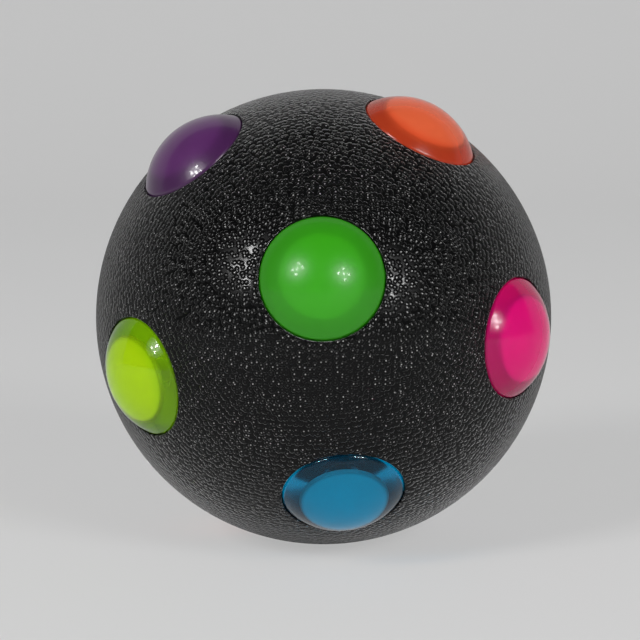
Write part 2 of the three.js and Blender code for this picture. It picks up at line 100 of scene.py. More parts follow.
# The door screw's tip and the arms of its cross
SCREW_POINT = 0.001
CROSS_HALF_WIDTH = 0.00026
CROSS_HALF_LENGTH = 0.0011
CROSS_DEPTH = 0.0004

# Floor that bends up into the backdrop
FLOOR_GAP = 0.00005
SWEEP_HALF_WIDTH = 12.0
SWEEP_FRONT = -12.0
SWEEP_BACK = 0.9
SWEEP_BEND = 0.6
SWEEP_FIRST_TURN = 0.1
SWEEP_STEPS = 16
SWEEP_TOP = 3.0

# Camera
CAMERA_AZIMUTH = math.radians(0.25)
CAMERA_ELEVATION = math.radians(7.6)
CAMERA_ROLL = math.radians(0.6)
CAMERA_DISTANCE = 0.5
CAMERA_LENS = 127.4
CAMERA_SENSOR = 36.0
CAMERA_CLIP_END = 20.0
FRAME_PIXELS = 640
SHIFT_PIXELS = (-3.6, -3.4)

# Two groups of lamps, each a cross of small ones before a soft glow. Directions are shares of right, up and
# towards the camera
LAMP_DIRECTIONS = ((-0.569, 0.405, 0.712), (0.504, 0.287, 0.812))
LAMP_DISTANCE = 1.2
LAMP_CROSS = ((0, 0), (1, 0), (-1, 0), (0, 1), (0, -1))
LAMP_SPACING = 0.17
LAMP_SIZE = 0.07
LAMP_ENERGY = 0.9
GLOW_STANDOFF = 1.1
GLOW_SIZES = (0.34, 0.54, 0.74)
GLOW_ENERGY = 1.8


def length(name, description, default):
    return FloatProperty(name=name, description=description, default=default, unit="LENGTH", precision=5)


def tint(name, description, default):
    return FloatVectorProperty(name=name, description=description, default=default, subtype="COLOR",
                               size=3, min=0.0, max=1.0)


class BallSizes(bpy.types.PropertyGroup):
    """Sizes of the ball, in metres from its centre where a level is meant"""

    ball_radius: length("Ball radius", "Outside of the black shells", 0.05)
    wall: length("Wall", "How deep the shells' edges go", 0.0025)
    skin: length("Skin", "Thickness of the pebbled skin", 0.0008)
    parting_gap: length("Parting gap", "Seam between the front and the rear shell", 0.0003)
    edge: length("Edge", "Rounding of the shells' edges", 0.0002)
    grain: length("Grain", "Distance from pebble to pebble", 0.0011)
    grain_height: length("Grain height", "How far the pebbles stand up", 0.00021)
    grid: IntProperty(name="Grid", description="Subdivisions of the shell's mesh", default=7, min=4, max=8)
    hole_radius: length("Hole radius", "Round hole for each dome", 0.0129)
    dome_crown: length("Dome crown", "From a dome's rim up to its top", 0.006)
    shoulder: length("Shoulder", "Part of the dome's crown that falls close to its rim", 0.0008)
    rim_round: length("Rim round", "Rounding of a dome's rim", 0.0008)
    dome_proud: length("Dome proud", "How far a dome stands out of the ball", 0.0043)
    skirt_radius: length("Skirt radius", "Straight side of each dome", 0.0126)
    skirt_end: length("Skirt end", "Level where the dome's flange starts", 0.0442)
    flange_radius: length("Flange radius", "Flange that keeps the dome in its well", 0.0139)
    flange_bottom: length("Flange bottom", "Level of the dome's underside", 0.0428)
    lamp_room_radius: length("Lamp room radius", "Hollow for the lamp in the dome's underside", 0.0032)
    lamp_room_top: length("Lamp room top", "Level up to which that hollow goes", 0.0446)
    well_floor: length("Well floor", "Level of the LED board's top", 0.036)
    diffuser_radius: length("Diffuser radius", "Frosted disc inside each dome", 0.0085)
    diffuser_top: length("Diffuser top", "Level of the disc's face", 0.0493)
    diffuser_bottom: length("Diffuser bottom", "Level of the disc's back", 0.0483)
    clearance: length("Clearance", "Between pieces that lie on each other", 0.0003)
    ring_wall: length("Ring wall", "Width of a return ring's foot", 0.0022)
    ring_foot: length("Ring foot", "Height of a return ring's foot", 0.0012)
    ring_taper: length("Ring taper", "How much narrower a return ring is at its top", 0.0014)
    ring_top: length("Ring top", "Width of a return ring's top", 0.0032)
    door_radius: length("Door radius", "Round part of the battery door", 0.0103)
    lug_radius: length("Lug radius", "Round end of the door around its screw", 0.004)
    lug_offset: length("Lug offset", "From the door's middle to its screw", 0.0117)
    door_gap: length("Door gap", "Clearance around the battery door", 0.0003)
    door_bottom: length("Door bottom", "Level of the battery door's underside", 0.0459)
    cell_radius: length("Cell radius", "Can of a coin cell", 0.008)
    cell_cap_radius: length("Cell cap radius", "Inner face of a coin cell", 0.0072)
    cell_thickness: length("Cell thickness", "Thickness of a coin cell", 0.0016)
    cell_seal: length("Cell seal", "How far the seal's groove is from a coin cell's inner face", 0.0003)
    screw_radius: length("Screw radius", "Head of the door's screw", 0.0017)
    screw_top: length("Screw top", "Level of the screw's head", 0.048)
    screw_head: length("Screw head", "Height of the screw's head", 0.0008)
    screw_tip: length("Screw tip", "Level of the screw's tip", 0.0415)
    shank_radius: length("Shank radius", "Shank of the door's screw", 0.0008)


class BallColours(bpy.types.PropertyGroup):
    """Colours of the ball"""

    shell: tint("Shell", "Black moulded plastic", (0.0016, 0.0016, 0.0017))
    # The pale grey on the pebble tops is a painted highlight, standing in for the lamps' glints on each
    # pebble
    painted_glint: tint("Painted glint", "Bright paint on the pebble tops that stands in for glints", (0.56, 0.56, 0.55))
    green: tint("Green", "Tint of the green domes", (0.035, 0.33, 0.006))
    pink: tint("Pink", "Tint of the pink domes", (0.76, 0.003, 0.19))
    orange: tint("Orange", "Tint of the orange domes", (0.75, 0.135, 0.05))
    purple: tint("Purple", "Tint of the purple domes", (0.1, 0.022, 0.125))
    lime: tint("Lime", "Tint of the lime domes", (0.43, 0.68, 0.001))
    blue: tint("Blue", "Tint of the blue domes", (0.0, 0.265, 0.5))
    diffuser: tint("Diffuser", "Frosted white disc", (0.82, 0.82, 0.8))
    silicone: tint("Silicone", "Black rubber rings", (0.012, 0.012, 0.013))
    board: tint("Board", "Lacquer on the boards", (0.012, 0.15, 0.045))
    steel: tint("Steel", "Screws and cells", (0.58, 0.59, 0.6))
    contact: tint("Contact", "Battery contacts", (0.62, 0.46, 0.19))
    wire: tint("Wire", "Wire covers", (0.03, 0.03, 0.033))
    floor: tint("Floor", "Pale floor and backdrop", (0.72, 0.72, 0.72))


class Socket:
    """A node's output, with arithmetic that adds Math nodes"""

    def __init__(self, tree, output):
        self.tree = tree
        self.output = output

    def math(self, operation, first, second):
        return self.tree.node("ShaderNodeMath", {"operation": operation}, {0: first, 1: second})

    def beside(self, name):
        """Another output of the same node"""
        return Socket(self.tree, self.output.node.outputs[name])

    def at_least(self, other):
        return self.math("MAXIMUM", self, other)

    def __add__(self, other):
        return self.math("ADD", self, other)

    __radd__ = __add__

    def __sub__(self, other):
        return self.math("SUBTRACT", self, other)

    def __rsub__(self, other):
        return self.math("SUBTRACT", other, self)

    def __mul__(self, other):
        return self.math("MULTIPLY", self, other)

    __rmul__ = __mul__

    def __pow__(self, other):
        return self.math("POWER", self, other)


class Finish:
    """A material, or a world, whose nodes are made one by one"""

    def __init__(self, name, library="materials"):
        self.made = getattr(bpy.data, library).new(name)
        self.made.use_nodes = True
        self.tree = self.made.node_tree
        self.tree.nodes.clear()

    def node(self, kind, settings=None, sockets=None, output=0):
        made = self.tree.nodes.new(kind)
        for key, value in (settings or {}).items():
            setattr(made, key, value)
        for key, value in (sockets or {}).items():
            if isinstance(value, Socket):
                self.tree.links.new(value.output, made.inputs[key])
            else:
                made.inputs[key].default_value = value
        return Socket(self, made.outputs[output])

    def place(self):
        return self.node("ShaderNodeTexCoord", output="Object")

    def attribute(self, name, output="Fac"):
        return self.node("ShaderNodeAttribute", {"attribute_name": name}, output=output)

    def light_path(self, ray):
        return self.node("ShaderNodeLightPath", output=ray)

    def noise(self, scale, detail=3.0):
        return self.node("ShaderNodeTexNoise", None,
                         {"Vector": self.place(), "Scale": scale, "Detail": detail})

    def share(self, value, start, end):
        """0 at the start, 1 at the end, and held at these beyond them"""
        return self.node("ShaderNodeMapRange", None, {"Value": value, "From Min": start, "From Max": end})

    def between(self, factor, one, other):
        return self.node("ShaderNodeMix", {"data_type": "RGBA"},
                         {"Factor": factor, 6: (*one, 1.0), 7: (*other, 1.0)}, output=2)

    def mixed(self, factor, one, other):
        return self.node("ShaderNodeMixShader", None, {0: factor, 1: one, 2: other})

    def bump(self, height, distance):
        return self.node("ShaderNodeBump", None, {"Height": height, "Distance": distance, "Strength": 1.0})

    def plastic(self, **sockets):
        named = {key.replace("_", " ").title().replace("Ior", "IOR"): value for key, value in sockets.items()}
        return self.node("ShaderNodeBsdfPrincipled", None, named)

    def surface(self, shader, end="ShaderNodeOutputMaterial"):
        last = self.tree.nodes.new(end)
        self.tree.links.new(shader.output, last.inputs["Surface"])
        return self.made


def shade_of(colour, amount):
    return [min(1.0, channel * amount) for channel in colour]


def shell_finish(sizes, colours):
    """Black plastic with round pebbles, some with a painted highlight on top that stands in for the lamps'
    glints, and a haze where it turns away
    """
    stray = 0.75
    tightness = 1.85
    # Distances from a pebble's middle at which its painted glint is full and at which it has faded out
    glint_middle, glint_edge = 0.02, 0.17
    fine_height = 0.03
    rarity = 3.0
    channel_rough, pebble_rough, fine_rough = 0.08, 0.1, 0.04
    haze, haze_falloff = 0.5, 3.0
    finish = Finish("pebbled_black")
    middle = finish.node("ShaderNodeTexVoronoi", {"voronoi_dimensions": "2D"},
                         {"Vector": finish.attribute(GRAIN_PLACE, "Vector"), "Scale": 1.0 / sizes.grain,
                          "Randomness": stray})
    chance = finish.node("ShaderNodeSeparateColor", None, {"Color": middle.beside("Color")}, output="Red")
    inside = 1.0 - (middle * tightness) ** 2.0
    outside = 1.0 - finish.attribute(SIDE)
    raised = inside.at_least(0.0) ** 0.5 * outside
    fine = finish.noise(scale=4200.0)
    # Painted highlight: some pebbles get a bright grey top that stands in for a lamp's glint
    painted_glint = finish.share(middle, glint_edge, glint_middle) * chance ** rarity * outside
    colour = finish.between(painted_glint, colours.shell, colours.painted_glint)
    grazing = finish.node("ShaderNodeLayerWeight", None, {"Blend": 0.5}, output="Facing")
    roughness = channel_rough + pebble_rough * raised + fine_rough * fine + haze * grazing ** haze_falloff
    normal = finish.bump(raised + fine_height * fine, sizes.grain_height)
    return finish.surface(finish.plastic(base_color=colour, roughness=roughness, normal=normal, ior=1.45,
                                         specular_ior_level=0.2, sheen_weight=0.5, sheen_roughness=0.22))


def dome_finish(name, colour, clear, frost, coat, depth):
    """Tinted plastic, clear or a little milky, that lets lamps reach the disc inside, with painted shade that
    deepens its tint towards the rim
    """
    cloudiness = 0.12
    scuffs = 0.04
    clear_side, milky_side = 0.07, 0.7
    finish = Finish("tinted_" + name)
    cloud = finish.noise(scale=90.0, detail=4.0)
    scuff = finish.noise(scale=900.0, detail=2.0)
    # Painted shade: towards the rim the tint is raised to a power, darkening the band where the black seat
    # behind the dome keeps light out
    rim_shaded_tint = [channel ** depth for channel in colour]
    body = finish.between(finish.attribute(RIM) + cloudiness * cloud, colour, rim_shaded_tint)
    side_frost = clear_side + milky_side * (1.0 - clear)
    roughness = frost + scuffs * scuff * cloud + side_frost * finish.attribute(SIDE)
    gloss = finish.plastic(base_color=body, roughness=roughness, transmission_weight=clear, ior=1.36,
                           coat_weight=coat, coat_roughness=0.09)
    paler = [channel ** 0.5 for channel in colour]
    passing = finish.node("ShaderNodeBsdfTransparent", None, {"Color": (*paler, 1.0)})
    return finish.surface(finish.mixed(finish.light_path("Is Shadow Ray"), gloss, passing))


def frosted_finish(colours):
    """White frosted plastic with painted shade that darkens it softly at its rim"""
    rim_shade = 0.4
    frost_shade = 0.06
    frost_height = 0.00004
    plain_rough, frost_rough = 0.5, 0.2
    finish = Finish("frosted_white")
    frost = finish.noise(scale=1500.0)
    # Painted shade: the disc is darkened towards its rim
    colour = finish.between(finish.attribute(RIM) + frost_shade * frost, colours.diffuser,
                            shade_of(colours.diffuser, rim_shade))
    return finish.surface(finish.plastic(base_color=colour, roughness=plain_rough + frost_rough * frost,
                                         normal=finish.bump(frost, frost_height)))


def matte_finish(name, colour):
    """Matte rubber or plastic with a dusty bloom"""
    bloom_shade = 2.0
    bloom_height = 0.00005
    plain_rough, bloom_rough = 0.6, 0.25
    finish = Finish(name)
    bloom = finish.noise(scale=220.0, detail=6.0)
    shade = finish.between(bloom, colour, shade_of(colour, bloom_shade))
    return finish.surface(finish.plastic(base_color=shade, roughness=plain_rough + bloom_rough * bloom,
                                         normal=finish.bump(bloom, bloom_height)))


def board_finish(colours):
    """Green lacquer over copper tracks"""
    track_start, track_end = 0.45, 0.55
    track_shade = 1.6
    track_height = 0.00004
    plain_rough, track_rough = 0.32, 0.1
    finish = Finish("lacquered_board")
    tracks = finish.node("ShaderNodeTexWave", {"bands_direction": "DIAGONAL"},
                         {"Vector": finish.place(), "Scale": 160.0, "Distortion": 6.0, "Detail": 1.0},
                         output="Fac")
    raised = finish.share(tracks, track_start, track_end)
    shade = finish.between(raised, colours.board, shade_of(colours.board, track_shade))
    return finish.surface(finish.plastic(base_color=shade, roughness=plain_rough + track_rough * raised,
                                         normal=finish.bump(raised, track_height)))


def metal_finish(name, colour):
    """Drawn metal with fine lines"""
    line_shade = 0.82
    line_height = 0.00001
    plain_rough, line_rough = 0.24, 0.2
    finish = Finish(name)
    lines = finish.noise(scale=1800.0, detail=6.0)
    shade = finish.between(lines, shade_of(colour, line_shade), colour)
    return finish.surface(finish.plastic(base_color=shade, metallic=1.0,
                                         roughness=plain_rough + line_rough * lines,
                                         normal=finish.bump(lines, line_height)))


def pale_finish(name, colour):
    """Plain pale surface that looks as pale as it is written, with the ball's shadow on it"""
    mottle_shade = 0.985
    glow = 0.6
    finish = Finish(name)
    mottle = finish.noise(scale=3.0)
    shade = finish.between(mottle, shade_of(colour, mottle_shade), colour)
    lit = finish.plastic(base_color=shade, roughness=0.9)
    pale = finish.node("ShaderNodeEmission", None, {"Color": shade, "Strength": 1.0})
    seen = finish.light_path("Is Camera Ray")
    for ray in ("Is Glossy Ray", "Is Transmission Ray"):
        seen = seen + finish.light_path(ray)
    return finish.surface(finish.mixed(glow * seen, lit, pale))


def soft_room():
    """A dim room, paler towards the floor"""
    low, high = [0.22] * 3, [0.08] * 3
    high_from = 0.5
    room = Finish("soft_room", "worlds")
    direction = room.node("ShaderNodeTexCoord", output="Generated")
    height = room.node("ShaderNodeSeparateXYZ", None, {"Vector": direction}, output="Z")
    shade = room.between(room.share(height, 0.0, high_from), low, high)
    return room.surface(room.node("ShaderNodeBackground", None, {"Color": shade}), "ShaderNodeOutputWorld")


def axes_about(axis, towards):
    """Rows x, y and z of a frame along axis, its x turned away from towards"""
    side = axis * axis.dot(towards) - towards
    if side.length < TINY:
        side = Vector((1.0, 0.0, 0.0)) - axis * axis.x
    side.normalize()
    return np.array([side, axis.cross(side), axis])


def dome_axes(name):
    return axes_about(-Vector(JOINTS["press_" + name]["axis"]), POLE)


def door_axes():
    return axes_about(Vector(JOINTS["battery_door_lift"]["axis"]), POLE)


class Opening:
    """A hole or outline on the ball, as a signed distance about an axis, and the steps of its wall"""

    def __init__(self, axes, distance, steps, middle=0.0, inside=False):
        self.axes = axes
        self.distance = distance
        self.steps = steps
        self.middle = np.array([middle, 0.0, 0.0])
        self.sign = -1.0 if inside else 1.0

    def __call__(self, points):
        local = points @ self.axes.T
        flat = self.distance(local[:, 0], local[:, 1])
        return np.where(local[:, 2] > 0, self.sign * flat, self.sign)

    def wall(self, rim):
        """Rings below the rim, each a share of the rim's width at a level along the axis"""
        rings = []
        for share, level in self.steps:
            local = self.middle + (rim @ self.axes.T - self.middle) * share
            local[:, 2] = level
            rings.append(local @ self.axes)
        return rings


class Parting:
    """The plane between the two shells"""

    def __init__(self, side, gap, depth):
        self.normal = np.array(POLE) * side
        self.gap = gap
        self.depth = depth

    def __call__(self, points):
        return points @ self.normal - self.gap / 2

    def wall(self, rim):
        return [rim * (1 - self.depth / np.linalg.norm(rim, axis=1, keepdims=True))]


def round_hole(radius, offset=0.0):
    return lambda x, y: np.hypot(x - offset, y) - radius


def door_outline(sizes, extra):
    disc = round_hole(sizes.door_radius + extra)
    lug = round_hole(sizes.lug_radius + extra, -sizes.lug_offset)
    return lambda x, y: np.minimum(disc(x, y), lug(x, y))


def slide_to(points, field, level, radius):
    """Moves points over the ball until the field has the given level"""
    step = radius * SLIDE_STEP
    for _ in range(SLIDE_ROUNDS):
        value = field(points) - level
        ahead = [field(points + step * unit) - level for unit in np.eye(3)]
        slope = np.stack([(each - value) / step for each in ahead], axis=1)
        outward = points / np.linalg.norm(points, axis=1, keepdims=True)
        slope -= outward * np.sum(slope * outward, axis=1, keepdims=True)
        size = np.maximum(np.sum(slope * slope, axis=1, keepdims=True), LEAST_SLOPE)
        points = points - value[:, None] * slope / size
        points *= radius / np.linalg.norm(points, axis=1, keepdims=True)
    return points


def ball_grid(radius, subdivisions):
    grid = bmesh.new()
    bmesh.ops.create_icosphere(grid, subdivisions=subdivisions, radius=radius)
    points = np.array([vertex.co for vertex in grid.verts])
    faces = np.array([[vertex.index for vertex in face.verts] for face in grid.faces])
    grid.free()
    return points, faces


def open_loops(faces):
    """Closed runs of edges that only one face uses, in the faces' own order"""
    edges = {(int(a), int(b)) for face in faces for a, b in zip(face, np.roll(face, -1))}
    onward = {a: b for a, b in edges if (b, a) not in edges}
    loops = []
    while onward:
        start, here = onward.popitem()
        loop = [start]
        while here != start:
            loop.append(here)
            here = onward.pop(here)
        loops.append(loop)
    return loops


def ball_patch(sizes, fields, under):
    """The ball's outside where every field is positive, with rounded edges, walls and an underside"""
    radius = sizes.ball_radius
    points, faces = ball_grid(radius, sizes.grid)
    reach = np.linalg.norm(points[faces[0][0]] - points[faces[0][1]])
    values = np.stack([field(points) - sizes.edge for field in fields])
    faces = faces[np.all(np.all(values > -EDGE_REACH * reach, axis=0)[faces], axis=1)]
    polygons = faces.tolist()
    below = np.arange(len(points)) + len(points)
    count = 2 * len(points)
    added = []
    for loop in open_loops(faces):
        nearest = fields[int(np.argmin(np.abs(values[:, loop]).max(axis=1)))]
        rim = slide_to(points[loop], nearest, sizes.edge, radius)
        points[loop] = rim
        rings = []
        for angle in EDGE_ANGLES:
            ring = slide_to(rim, nearest, sizes.edge * (1 - math.sin(angle)), radius)
            rings.append(ring * (1 - sizes.edge * (1 - math.cos(angle)) / radius))
        rings += nearest.wall(rings[-1])
        previous = loop
        for ring in rings:
            numbers = list(range(count, count + len(ring)))
            count += len(ring)
            for one in range(len(loop)):
                other = (one + 1) % len(loop)
                polygons.append([previous[other], previous[one], numbers[one], numbers[other]])
            previous = numbers
        added += rings
        below[loop] = previous
    polygons += below[faces[:, ::-1]].tolist()
    points = np.concatenate([points, under(points), *added])
    used = np.unique(np.concatenate([np.array(polygon) for polygon in polygons]))
    number = {int(old): new for new, old in enumerate(used)}
    return points[used], [[number[int(index)] for index in polygon] for polygon in polygons]


def cut_back(node, radius):
    """Points and faces of a CAD node inside a smaller ball"""
    ball = bmesh.new()
    bmesh.ops.create_icosphere(ball, subdivisions=INSIDE_SUBDIVISIONS, radius=radius)
    welded = bmesh.new()
    welded.from_mesh(node.data)
    bmesh.ops.remove_doubles(welded, verts=welded.verts, dist=TINY)
    welded.transform(node.matrix_world)
    pieces = []
    for name, grid in (("cut_back", welded), ("ball", ball)):
        mesh = bpy.data.meshes.new(name)
        grid.to_mesh(mesh)
        grid.free()
        pieces.append(bpy.data.objects.new(name, mesh))
        bpy.context.scene.collection.objects.link(pieces[-1])
    cut = pieces[0].modifiers.new("cut", "BOOLEAN")
    cut.operation = "INTERSECT"
    cut.solver = "EXACT"
    cut.object = pieces[1]
    graph = bpy.context.evaluated_depsgraph_get()
    mesh = bpy.data.meshes.new_from_object(pieces[0].evaluated_get(graph))
    points = [tuple(vertex.co) for vertex in mesh.vertices]
    polygons = [list(polygon.vertices) for polygon in mesh.polygons]
    for piece in pieces:
        bpy.data.objects.remove(piece)
    return points, polygons


def points_of(mesh):
    points = np.empty(3 * len(mesh.vertices))
    mesh.vertices.foreach_get("co", points)
    return points.reshape(-1, 3)


def mark(mesh, name, values):
    marks = mesh.attributes.new(name, "FLOAT", "POINT")
    marks.data.foreach_set("value", np.asarray(values, dtype=np.float32))


def lay_grain(mesh, radius):
    """Gives each face corner a flat place around the dome that its face is nearest to"""
    middles = np.empty(3 * len(mesh.polygons))
    mesh.polygons.foreach_get("center", middles)
    totals = np.empty(len(mesh.polygons), dtype=np.int32)
    mesh.polygons.foreach_get("loop_total", totals)
    corners = np.empty(len(mesh.loops), dtype=np.int32)
    mesh.loops.foreach_get("vertex_index", corners)
    patches = np.stack([dome_axes(name) for name in DOMES])
    nearest = np.argmax(middles.reshape(-1, 3) @ patches[:, 2].T, axis=1)
    nearest = np.repeat(nearest, totals)
    outward = points_of(mesh)[corners]
    outward /= np.linalg.norm(outward, axis=1, keepdims=True)
    local = np.einsum("nij,nj->ni", patches[nearest], outward)
    flat = np.zeros_like(local)
    flat[:, :2] = local[:, :2] * np.sqrt(2.0 / (1.0 + local[:, 2:])) * radius
    flat[:, 0] += nearest * PATCH_SPACING * radius
    places = mesh.attributes.new(GRAIN_PLACE, "FLOAT_VECTOR", "CORNER")
    places.data.foreach_set("vector", flat.ravel())


def mark_rim(mesh, axes, radius, start, end):
    """Gives each point 0 up to the start share of the radius and 1 from the end share on"""
    local = points_of(mesh) @ axes.T
    share = np.hypot(local[:, 0], local[:, 1]) / radius
    rim = np.clip((share - start) / (end - start), 0.0, 1.0)
    mark(mesh, RIM, rim * rim * (3.0 - 2.0 * rim))


def add_piece(name, points, polygons, material, body, slot, replaced):
    """A smooth mesh object that rides on a body and stands for its CAD nodes"""
    mesh = bpy.data.meshes.new(name)
    mesh.from_pydata([tuple(point) for point in points], [], polygons)
    mesh.validate()
    mesh.polygons.foreach_set("use_smooth", [True] * len(mesh.polygons))
    mesh.set_sharp_from_angle(angle=SHARP_ANGLE)
    mesh.materials.append(material)
    piece = bpy.data.objects.new(name, mesh)
    bpy.context.scene.collection.objects.link(piece)
    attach(piece, body)
    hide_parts(*replaced)
    return piece


def turned(profile, axes, segments):
    """Points and faces of a body turned about an axis, from radius and level pairs, outer wall going up"""
    turns = np.linspace(0.0, 2 * math.pi, segments, endpoint=False)
    points = []
    rows = []
    for radius, level in profile:
        if radius < TINY:
            rows.append([len(points)] * segments)
            points.append(axes[2] * level)
            continue
        rows.append(list(range(len(points), len(points) + segments)))
        points += [axes[0] * radius * math.cos(t) + axes[1] * radius * math.sin(t) + axes[2] * level
                   for t in turns]
    polygons = []
    for lower, upper in zip(rows, rows[1:]):
        for one in range(segments):
            other = (one + 1) % segments
            corners = [lower[one], lower[other], upper[other], upper[one]]
            polygons.append(list(dict.fromkeys(corners)))
    return points, polygons


def rounded(corners, radius, steps=ROUND_STEPS):
    """A profile with the corners between its two ends rounded"""
    profile = [corners[0]]
    for before, here, after in zip(corners, corners[1:], corners[2:]):
        here, before, after = Vector(here), Vector(before), Vector(after)
        reach = min(radius, (before - here).length / 2, (after - here).length / 2)
        start = here + (before - here).normalized() * reach
        end = here + (after - here).normalized() * reach
        for step in range(steps + 1):
            share = step / steps
            profile.append(tuple(start.lerp(here, share).lerp(here.lerp(end, share), share)))
    profile.append(corners[-1])
    return profile


class BallOperator:
    """What the ball's operators share"""

    bl_options = {"REGISTER"}

    @property
    def sizes(self):
        return bpy.context.scene.ball_sizes

    @property
    def colours(self):
        return bpy.context.scene.ball_colours


class BALL_OT_shells(BallOperator, bpy.types.Operator):
    """Front and rear shell and the battery door, pebbled all over"""

    bl_idname = "ball.shells"
    bl_label = "Shells and battery door"

    def execute(self, context):
        sizes = self.sizes
        material = shell_finish(sizes, self.colours)
        moulded = matte_finish("moulded_black", self.colours.shell)
        hole_steps = [(1.0, sizes.skirt_end + sizes.clearance)]
        holes = {name: Opening(dome_axes(name), round_hole(sizes.hole_radius), hole_steps) for name in DOMES}
        front = [hole for name, hole in holes.items() if not name.endswith("_rear")]
        rear = [hole for name, hole in holes.items() if name.endswith("_rear")]
        seat_steps = [(1.0, sizes.door_bottom - sizes.clearance)]
        rear.append(Opening(door_axes(), door_outline(sizes, sizes.door_gap), seat_steps))
        inward = 1 - sizes.skin / sizes.ball_radius
        for name, side, fields in (("front_shell", 1.0, front), ("rear_shell", -1.0, rear)):
            fields = [Parting(side, sizes.parting_gap, sizes.wall), *fields]
            self.add_skin(name, ball_patch(sizes, fields, lambda points: points * inward), material, "ball")
            inside = cut_back(frame["nodes"][name], sizes.ball_radius - sizes.skin - sizes.edge)
            add_piece(name + "_inside", *inside, moulded, "ball", "shell", [name])
        self.add_skin("battery_door", self.door_patch(), material, "battery_cover")
        return {"FINISHED"}

    def add_skin(self, name, patch, material, body):
        sizes = self.sizes
        skin = add_piece(name + "_pebbled", *patch, material, body, "shell", [name])
        lay_grain(skin.data, sizes.ball_radius)
        depth = sizes.ball_radius - np.linalg.norm(points_of(skin.data), axis=1)
        mark(skin.data, SIDE, depth > sizes.edge / 2)

    def door_patch(self):
        sizes = self.sizes
        axes = door_axes()
        outline = Opening(axes, door_outline(sizes, 0.0), [(1.0, sizes.door_bottom)], inside=True)
        seat = sizes.screw_top - sizes.screw_head - sizes.door_gap
        head = sizes.screw_radius + sizes.door_gap
        shank = (sizes.shank_radius + sizes.door_gap) / head
        steps = [(1.0, seat), (shank, seat), (shank, sizes.door_bottom)]
        screw_room = Opening(axes, round_hole(head, -sizes.lug_offset), steps, -sizes.lug_offset)
        return ball_patch(sizes, [outline, screw_room],
                          lambda points: points + np.outer(sizes.door_bottom - points @ axes[2], axes[2]))


class BALL_OT_domes(BallOperator, bpy.types.Operator):
    """Twelve tinted domes"""

    bl_idname = "ball.domes"
    bl_label = "Domes"

    def execute(self, context):
        sizes = self.sizes
        # Each look's depth is the power to which the painted rim shade raises its tint
        looks = {
            "green": {"clear": 0.3, "frost": 0.34, "coat": 0.2, "depth": 1.0},
            "pink": {"clear": 0.6, "frost": 0.14, "coat": 0.12, "depth": 1.0},
            "orange": {"clear": 0.6, "frost": 0.2, "coat": 0.06, "depth": 1.3},
            "purple": {"clear": 0.45, "frost": 0.34, "coat": 0.5, "depth": 1.1},
            "lime": {"clear": 0.68, "frost": 0.05, "coat": 0.0, "depth": 1.6},
            "blue": {"clear": 0.96, "frost": 0.02, "coat": 0.0, "depth": 1.0},
        }
        finishes = {c: dome_finish(c, getattr(self.colours, c), **looks[c]) for c in COLOURS}
        apex = sizes.ball_radius + sizes.dome_proud
        shares = [1.0 - step / DOME_STEPS for step in range(1, DOME_STEPS + 1)]
        bowl = sizes.dome_crown - sizes.shoulder
        crown = [(sizes.skirt_radius * share, apex - bowl * share ** 2 - sizes.shoulder * share ** 6)
                 for share in shares]
        rim = apex - sizes.dome_crown
        profile = rounded([
            (0.0, sizes.lamp_room_top),
            (sizes.lamp_room_radius, sizes.lamp_room_top),
            (sizes.lamp_room_radius, sizes.flange_bottom),
            (sizes.flange_radius, sizes.flange_bottom),
            (sizes.flange_radius, sizes.skirt_end),
            (sizes.skirt_radius, sizes.skirt_end),
            (sizes.skirt_radius, rim - sizes.wall),
        ], sizes.edge)
        profile += rounded([
            (sizes.skirt_radius, rim - sizes.wall / 2),
            (sizes.skirt_radius, rim),
            crown[RIM_CORNER],
        ], sizes.rim_round, RIM_STEPS) + crown[RIM_CORNER + 1:]
        for name in DOMES:
            colour = name.split("_")[0]
            axes = dome_axes(name)
            points, polygons = turned(profile, axes, DOME_SEGMENTS)
            lens = add_piece("lens_" + name, points, polygons, finishes[colour], "button_" + name,
                             "dome_" + colour, ["dome_" + name])
            # Where the painted shade deepens the tint towards the rim
            mark_rim(lens.data, axes, sizes.skirt_radius, *DOME_RIM)
            mark(lens.data, SIDE, points_of(lens.data) @ axes[2] < rim - sizes.rim_round)
        return {"FINISHED"}


class BALL_OT_diffusers(BallOperator, bpy.types.Operator):
    """Frosted discs inside the domes"""

    bl_idname = "ball.diffusers"
    bl_label = "Diffusers"

    def execute(self, context):
        sizes = self.sizes
        material = frosted_finish(self.colours)
        rings = [(sizes.diffuser_radius * step / DISC_STEPS, sizes.diffuser_top)
                 for step in reversed(range(DISC_STEPS))]
        profile = rounded([
            (0.0, sizes.diffuser_bottom),
            (sizes.diffuser_radius, sizes.diffuser_bottom),
            (sizes.diffuser_radius, sizes.diffuser_top),
            rings[0],
        ], sizes.edge) + rings[1:]
        for name in DOMES:
            axes = dome_axes(name)
            points, polygons = turned(profile, axes, DISC_SEGMENTS)
            disc = add_piece("disc_" + name, points, polygons, material, "button_" + name, "diffuser",
                             ["diffuser_" + name])
            # Where the painted shade darkens the disc towards its rim
            mark_rim(disc.data, axes, sizes.diffuser_radius, *DISC_RIM)
        return {"FINISHED"}


class BALL_OT_rings(BallOperator, bpy.types.Operator):
    """Silicone rings that push the domes back"""

    bl_idname = "ball.rings"
    bl_label = "Return rings"

    def execute(self, context):
        sizes = self.sizes
        material = matte_finish("black_silicone", self.colours.silicone)
        bottom = sizes.well_floor + sizes.clearance
        top = sizes.flange_bottom - sizes.clearance
        outer = sizes.flange_radius
        inner = outer - sizes.ring_wall
        top_outer = outer - sizes.ring_taper
        corners = [(inner, bottom), (outer, bottom), (top_outer, top), (top_outer - sizes.ring_top, top),
                   (inner, bottom + sizes.ring_foot)]
        profile = rounded([*corners, corners[0]], sizes.edge)
        for name in DOMES:
            axes = dome_axes(name)
            points, polygons = turned(profile, axes, RING_SEGMENTS)
            ring = add_piece("spring_ring_" + name, points, polygons, material, "ball", "silicone",
                             ["return_ring_" + name])
            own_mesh(ring)
        return {"FINISHED"}


